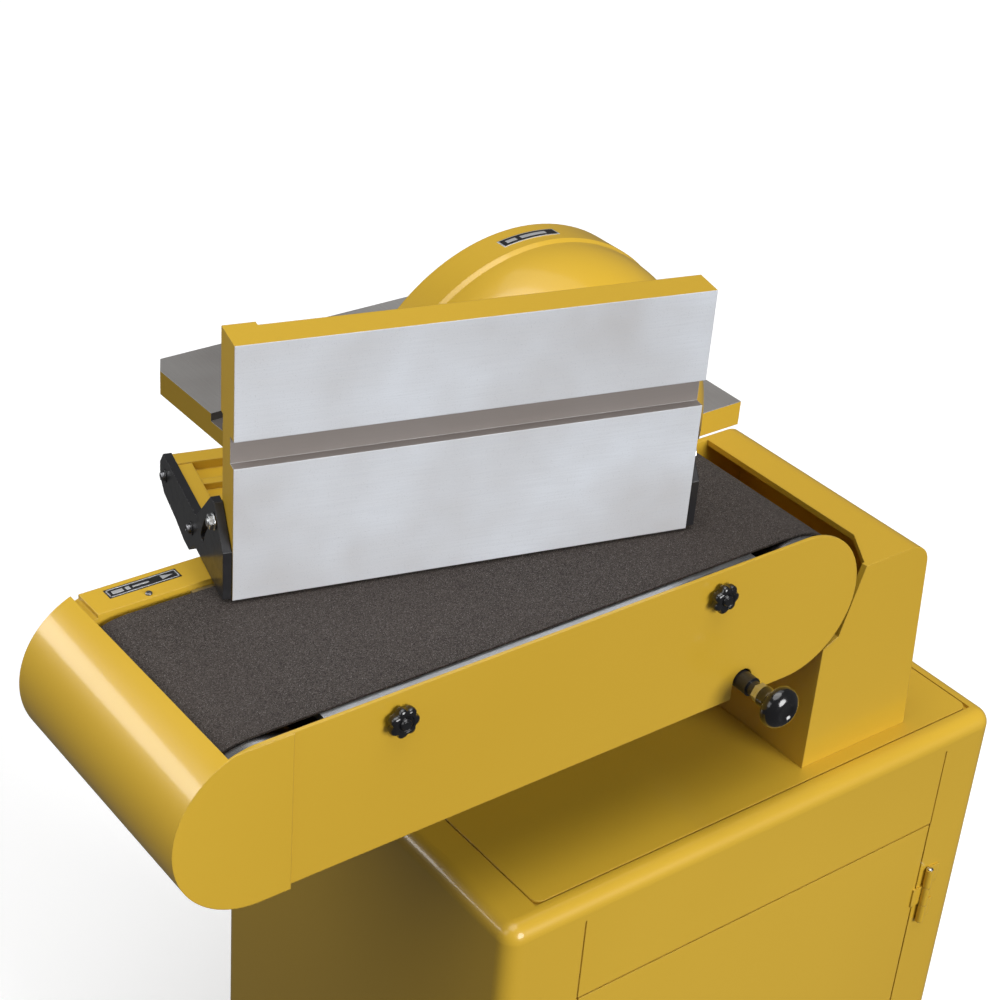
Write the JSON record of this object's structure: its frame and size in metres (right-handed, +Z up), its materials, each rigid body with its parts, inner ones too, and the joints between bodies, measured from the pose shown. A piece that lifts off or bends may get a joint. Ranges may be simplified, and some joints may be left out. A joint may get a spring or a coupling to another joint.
{
  "type": "belt grinder",
  "caption": "Floor-standing belt grinder: tilting belt arm with a skewed table across the belt, rear disc with tilting table, on a sheet-steel cabinet.",
  "frame": {"origin": "on the floor, at the centre of the floor bolts under the cabinet", "axes": "+X along the belt arm towards its drive end, +Y to the rear where the disc faces, +Z up"},
  "size_m": [0.7909, 0.73, 1.166],
  "materials": {
    "yellow_paint": "glossy mustard yellow enamel",
    "machined_iron": "fine-ground grey iron",
    "steel": "turned and ground",
    "aluminium": "turned",
    "motor_paint": "dark grey enamel",
    "abrasive": "dark brown-grey bonded grit on cloth",
    "belt_rubber": "matt",
    "black_metal": "black semi-gloss",
    "black_plastic": "glossy black phenolic",
    "grey_plastic": "matt",
    "green_plastic": "glossy",
    "red_plastic": "glossy"
  },
  "bodies": {
    "frame": {"base_plate": "yellow_paint", "cabinet_shell": "yellow_paint", "cabinet_top_plate": "yellow_paint", "motor_shelf": "yellow_paint", "hinge_knuckles": "yellow_paint", "switch_box": "grey_plastic", "cable_gland": "black_plastic", "pedestal": "yellow_paint", "frame_bolts": "steel", "front_bearing_block": "yellow_paint", "rear_bearing_block": "yellow_paint", "spindle_bearings": "steel", "lock_quadrant": "steel", "motor_housing": "motor_paint", "v_belt": "belt_rubber", "drive_housing": "yellow_paint", "disc_guard": "yellow_paint", "dust_port": "yellow_paint", "lower_disc_cover": "yellow_paint", "table_brackets": "yellow_paint"},
    "door": {"cabinet_door": "yellow_paint"},
    "latch": {"door_latch": "black_metal"},
    "start": {"start_button": "green_plastic"},
    "stop": {"stop_button": "red_plastic"},
    "spindle": {"spindle_shaft": "steel", "drive_drum": "aluminium", "spindle_pulley": "machined_iron", "disc_plate": "aluminium", "abrasive_disc": "abrasive"},
    "rotor": {"motor_rotor": "steel", "motor_pulley": "machined_iron"},
    "arm": {"arm_casting": "yellow_paint", "platen": "steel", "cover_posts": "steel", "front_cover": "yellow_paint", "end_cover": "yellow_paint", "abrasive_belt": "abrasive", "lock_nut": "steel", "fence_mount_studs": "steel"},
    "carriage": {"idler_carriage": "steel", "idler_axle": "steel"},
    "idler": {"idler_drum": "aluminium"},
    "left_cover_knob": {"cover_knob_left": "black_plastic"},
    "right_cover_knob": {"cover_knob_right": "black_plastic"},
    "arm_lock": {"lock_rod": "steel", "lock_collar": "black_metal", "lock_jam_nut": "steel", "lock_knob": "black_plastic"},
    "lever": {"tension_lever": "black_metal"},
    "fence_base": {"fence_bracket": "yellow_paint", "fence_end_plate_left": "black_metal", "fence_end_plate_right": "black_metal", "bracket_bolts": "black_metal"},
    "fence": {"fence": "machined_iron", "fence_tilt_studs": "steel"},
    "table": {"disc_table": "machined_iron", "table_trunnions": "yellow_paint"},
    "left_table_knob": {"table_knob_left": "black_plastic"},
    "right_table_knob": {"table_knob_right": "black_plastic"}
  },
  "joints": [
    {"name": "door_swing", "type": "hinge", "parent": "frame", "child": "door", "pos_m": [0.196, -0.2055, 0.38], "axis": [0, 0, 1], "range_deg": [0, 110]},
    {"name": "latch_turn", "type": "hinge", "parent": "door", "child": "latch", "pos_m": [-0.154, -0.202, 0.4], "axis": [0, 1, 0], "range_deg": [0, 90]},
    {"name": "start_press", "type": "slide", "parent": "frame", "child": "start", "axis": [-1, 0, 0], "range_m": [0, 0.003], "stiffness_N_per_m": 400, "springref_m": -0.003},
    {"name": "stop_press", "type": "slide", "parent": "frame", "child": "stop", "axis": [-1, 0, 0], "range_m": [0, 0.004], "stiffness_N_per_m": 400, "springref_m": -0.003},
    {"name": "spindle_spin", "type": "hinge", "parent": "frame", "child": "spindle", "pos_m": [0.011, 0, 0.923], "axis": [0, 1, 0], "continuous": true},
    {"name": "motor_spin", "type": "hinge", "parent": "frame", "child": "rotor", "pos_m": [0.011, 0, 0.43], "axis": [0, 1, 0], "continuous": true},
    {"name": "arm_swing", "type": "hinge", "parent": "frame", "child": "arm", "pos_m": [0.011, 0, 0.923], "axis": [0, 1, 0], "range_deg": [0, 90]},
    {"name": "idler_slide", "type": "slide", "parent": "arm", "child": "carriage", "axis": [1, 0, 0], "range_m": [0, 0.006]},
    {"name": "idler_spin", "type": "hinge", "parent": "carriage", "child": "idler", "pos_m": [-0.4377, 0, 0.923], "axis": [0, 1, 0], "continuous": true},
    {"name": "tension_lever_turn", "type": "hinge", "parent": "arm", "child": "lever", "pos_m": [-0.365, 0, 0.923], "axis": [0, 1, 0], "range_deg": [0, 90]},
    {"name": "left_cover_knob_turn", "type": "hinge", "parent": "arm", "child": "left_cover_knob", "pos_m": [-0.339, -0.18, 0.9635], "axis": [0, -1, 0], "range_deg": [0, 180]},
    {"name": "right_cover_knob_turn", "type": "hinge", "parent": "arm", "child": "right_cover_knob", "pos_m": [-0.0705, -0.18, 0.9635], "axis": [0, -1, 0], "range_deg": [0, 180]},
    {"name": "arm_lock_turn", "type": "hinge", "parent": "arm", "child": "arm_lock", "pos_m": [-0.035, -0.2, 0.8785], "axis": [0, -1, 0], "range_deg": [0, 180]},
    {"name": "fence_swivel", "type": "hinge", "parent": "arm", "child": "fence_base", "pos_m": [-0.3198, 0.0156, 0.98], "axis": [0, 0, 1], "range_deg": [0, 14.5]},
    {"name": "fence_tilt", "type": "hinge", "parent": "fence_base", "child": "fence", "pos_m": [-0.37352, -0.03238, 0.98], "axis": [-0.9681, 0.2504, 0], "range_deg": [0, 45]},
    {"name": "table_tilt", "type": "hinge", "parent": "frame", "child": "table", "pos_m": [0.05, 0.19, 0.813], "axis": [-1, 0, 0], "range_deg": [0, 45]},
    {"name": "left_table_knob_turn", "type": "hinge", "parent": "frame", "child": "left_table_knob", "pos_m": [-0.13, 0.20231, 0.77917], "axis": [1, 0, 0], "range_deg": [0, 180]},
    {"name": "right_table_knob_turn", "type": "hinge", "parent": "frame", "child": "right_table_knob", "pos_m": [0.23, 0.20231, 0.77917], "axis": [1, 0, 0], "range_deg": [0, 180]}
  ],
  "couplings": [
    {"joint": "motor_spin", "follows": "spindle_spin", "ratio": 1.1},
    {"joint": "idler_spin", "follows": "spindle_spin", "ratio": 1},
    {"joint": "idler_slide", "follows": "tension_lever_turn", "m_per_rad": 0.00382}
  ]
}
